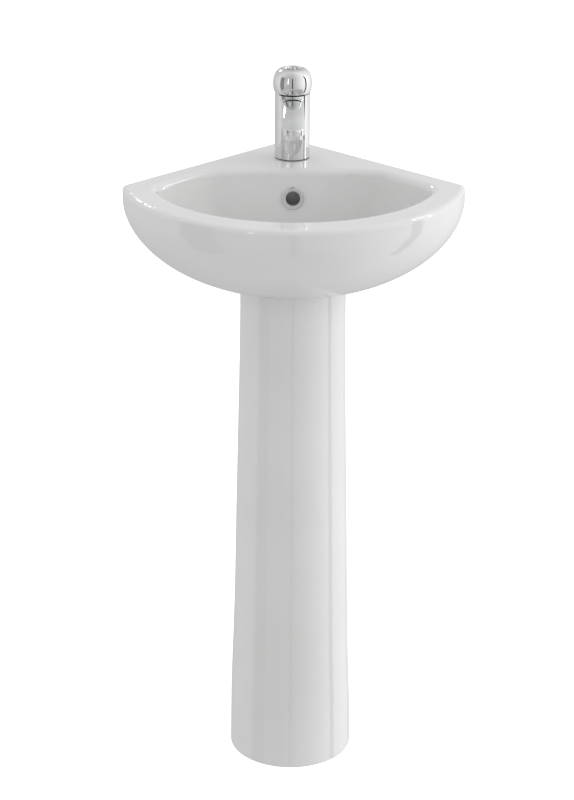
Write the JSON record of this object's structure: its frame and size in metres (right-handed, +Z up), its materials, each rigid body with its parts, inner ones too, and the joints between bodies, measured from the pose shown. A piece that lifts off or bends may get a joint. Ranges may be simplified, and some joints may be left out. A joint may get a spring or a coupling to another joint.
{
  "type": "corner pedestal basin with mixer tap",
  "caption": "Corner hand basin on a floor pedestal with a ball-knob mixer tap, overflow, push plug, bottle trap, supply tails and isolating valves.",
  "frame": {"origin": "centre of the base of the whole object's box, on the floor", "axes": "+Z up, +Y towards the corner of the room, -Y towards the user, +X to the user's right"},
  "size_m": [0.4532, 0.4069, 0.9746],
  "materials": {
    "white_china": "gloss glaze",
    "polished_chrome": "polished",
    "plated_brass": "semi-polished plating",
    "bare_brass": "machined",
    "copper": "drawn tube, lightly dulled",
    "plain_steel": "zinc plated",
    "grey_rubber": "matt",
    "white_plastic": "moulded",
    "grey_plastic": "moulded",
    "disc_ceramic": "lapped"
  },
  "bodies": {
    "stand": {"basin": "white_china", "pedestal": "white_china", "pedestal_seal": "grey_rubber", "overflow_ring": "polished_chrome", "waste_body": "polished_chrome", "waste_top_washer": "grey_rubber", "waste_lower_washer": "grey_rubber", "waste_slip_washer": "white_plastic", "waste_backnut": "polished_chrome", "plug_guide": "white_plastic", "plug_spring": "plain_steel", "trap_inlet_nut": "white_plastic", "trap_inlet_washer": "grey_rubber", "trap_body": "white_plastic", "trap_bottle": "white_plastic", "trap_bottle_seal": "grey_rubber", "trap_outlet_nut": "white_plastic", "tap_body": "polished_chrome", "tap_base_seal": "grey_rubber", "aerator_housing": "polished_chrome", "aerator_insert": "grey_plastic", "aerator_washer": "grey_rubber", "cartridge_base": "grey_plastic", "fixed_disc": "disc_ceramic", "cartridge_housing": "grey_plastic", "cartridge_nut": "bare_brass", "cartridge_shroud": "polished_chrome", "tap_stud": "plain_steel", "horseshoe_rubber": "grey_rubber", "horseshoe_plate": "plain_steel", "stud_nut": "bare_brass", "tail_hot": "copper", "isolator_body_hot": "plated_brass", "isolator_nut_top_hot": "plated_brass", "isolator_nut_low_hot": "plated_brass", "tail_cold": "copper", "isolator_body_cold": "plated_brass", "isolator_nut_top_cold": "plated_brass", "isolator_nut_low_cold": "plated_brass"},
    "plug": {"plug_cap": "polished_chrome", "plug_seal": "grey_rubber"},
    "swivel": {"cartridge_rotor": "grey_plastic", "pivot_pin": "plain_steel"},
    "knob": {"lever_spindle": "bare_brass", "handle_cap": "polished_chrome", "handle_grub_screw": "plain_steel", "index_cap": "polished_chrome"},
    "disc_carrier": {"moving_disc": "disc_ceramic"},
    "valve_hot": {"isolator_spindle_hot": "bare_brass"},
    "valve_cold": {"isolator_spindle_cold": "bare_brass"}
  },
  "joints": [
    {"name": "knob_swing", "type": "hinge", "parent": "stand", "child": "swivel", "pos_m": [0, 0.1285, 0.953], "axis": [0, 0, 1], "range_deg": [-45, 45]},
    {"name": "knob_tilt", "type": "hinge", "parent": "swivel", "child": "knob", "pos_m": [0, 0.1285, 0.953], "axis": [-1, 0, 0], "range_deg": [0, 15]},
    {"name": "disc_slide", "type": "slide", "parent": "swivel", "child": "disc_carrier", "axis": [0, -1, 0], "range_m": [0, 0.0058]},
    {"name": "plug_press", "type": "slide", "parent": "stand", "child": "plug", "axis": [0, 0, 1], "range_m": [-0.008, 0], "stiffness_N_per_m": 400, "springref_m": 0.004, "deforming": ["plug_spring"]},
    {"name": "hot_valve_turn", "type": "hinge", "parent": "stand", "child": "valve_hot", "pos_m": [-0.045, 0.1, 0.587], "axis": [0, 1, 0], "range_deg": [0, 90]},
    {"name": "cold_valve_turn", "type": "hinge", "parent": "stand", "child": "valve_cold", "pos_m": [0.045, 0.1, 0.587], "axis": [0, 1, 0], "range_deg": [0, 90]}
  ],
  "couplings": [
    {"joint": "disc_slide", "follows": "knob_tilt", "m_per_rad": 0.0218}
  ]
}
